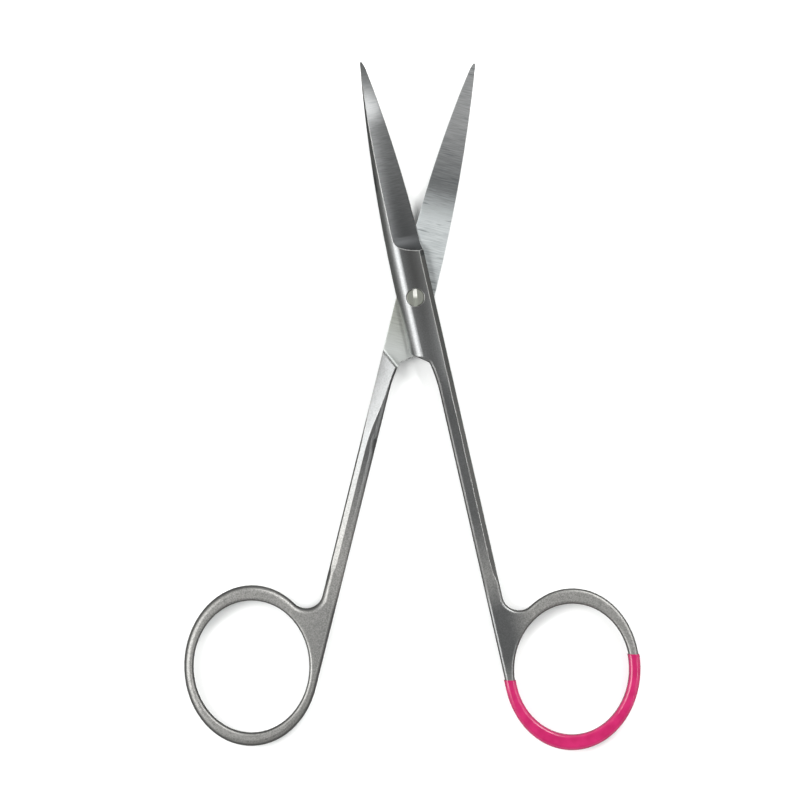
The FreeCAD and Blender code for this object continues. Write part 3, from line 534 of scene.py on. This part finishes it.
# Turned stainless steel gives the eye faint rings about the middle, greener than the plate. The
# rings are drawn twice as coarse as a real feed to show.
turned_steel, tree = new_material("turned_stainless")
place = add(tree, "TexCoord").outputs["Object"]
own = add(tree, "Mapping", {"Vector": place, "Scale": (1 / MM, 1 / MM, 1 / MM)})
spot = add(tree, "SeparateXYZ", {"Vector": own})
rings = add(tree, "TexWave", {
    "Vector": own, "Scale": math.pi / 10 / TURNING_PITCH, "Distortion": 0.6, "Detail": 2.0,
    "Detail Scale": 3.0}, wave_type="RINGS", rings_direction="Z").outputs["Fac"]
head_tint = add(tree, "Mix", {
    "Factor": rings, "A": linear(SCREW_DARK), "B": linear(SCREW_LIGHT)}, data_type="RGBA")
# Painted highlight: the slot's upper end is nearly white.
highlight_end = add(tree, "MapRange", {
    "Value": spot.outputs["Y"], "From Min": SLOT_HIGHLIGHT_END[0], "From Max": SLOT_HIGHLIGHT_END[1]})
slot_tint = add(tree, "Mix", {
    "Factor": highlight_end, "A": linear(SLOT_DULL), "B": linear(SLOT_HIGHLIGHT)}, data_type="RGBA")
# What lies deeper than the slot's upper wall belongs to its floor.
sunk = add(tree, "MapRange", {
    "Value": spot.outputs["Z"], "From Min": HEAD_TOP - SUNK[0], "From Max": HEAD_TOP - SUNK[1]})
tint = add(tree, "Mix", {"Factor": sunk, "A": head_tint, "B": slot_tint}, data_type="RGBA")
rough = add(tree, "MapRange", {"Value": sunk, "To Min": HEAD_ROUGH, "To Max": SLOT_ROUGH})
normal = add(tree, "Bump", {
    "Height": rings, "Strength": TURNING_STRENGTH, "Distance": TURNING_RELIEF * MM})
surface = add(tree, "BsdfPrincipled", {
    "Base Color": tint, "Metallic": 1.0, "Roughness": rough, "Normal": normal})
add(tree, "OutputMaterial", {"Surface": surface})
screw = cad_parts["pivot_screw"]
screw.data.materials.clear()
screw.data.materials.append(turned_steel)


# Ring coating
#
# The lower part of one ring is dipped in pink vinyl, a colour mark that sets to a glossy skin. It
# drains while it sets.

COAT_LIGHT = "#A31E54"
COAT_DARK = "#97184B"
COAT_GLOSSIEST = 0.14
COAT_ROUGHEST = 0.24
DRAIN_WAVES = 1.6
DRAIN_CONTRAST = (0.35, 0.65)
DRAIN_RELIEF = 0.08
DRAIN_STRENGTH = 0.5

# Dipped vinyl gives the eye an even strong colour with a wet gloss that wavers a little.
dipped_vinyl, tree = new_material("dipped_vinyl")
place = add(tree, "TexCoord").outputs["Object"]
own = add(tree, "Mapping", {"Vector": place, "Scale": (1 / MM, 1 / MM, 1 / MM)})
waves = add(tree, "TexNoise", {
    "Vector": own, "Scale": 1 / DRAIN_WAVES, "Detail": 3.0, "Roughness": 0.5})
cloud = add(tree, "MapRange", {
    "Value": waves, "From Min": DRAIN_CONTRAST[0], "From Max": DRAIN_CONTRAST[1]})
tint = add(tree, "Mix", {
    "Factor": cloud, "A": linear(COAT_DARK), "B": linear(COAT_LIGHT)}, data_type="RGBA")
rough = add(tree, "MapRange", {"Value": waves, "To Min": COAT_GLOSSIEST, "To Max": COAT_ROUGHEST})
normal = add(tree, "Bump", {
    "Height": waves, "Strength": DRAIN_STRENGTH, "Distance": DRAIN_RELIEF * MM})
surface = add(tree, "BsdfPrincipled", {"Base Color": tint, "Roughness": rough, "Normal": normal})
add(tree, "OutputMaterial", {"Surface": surface})
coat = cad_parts["ring_coating"]
coat.data.materials.clear()
coat.data.materials.append(dipped_vinyl)
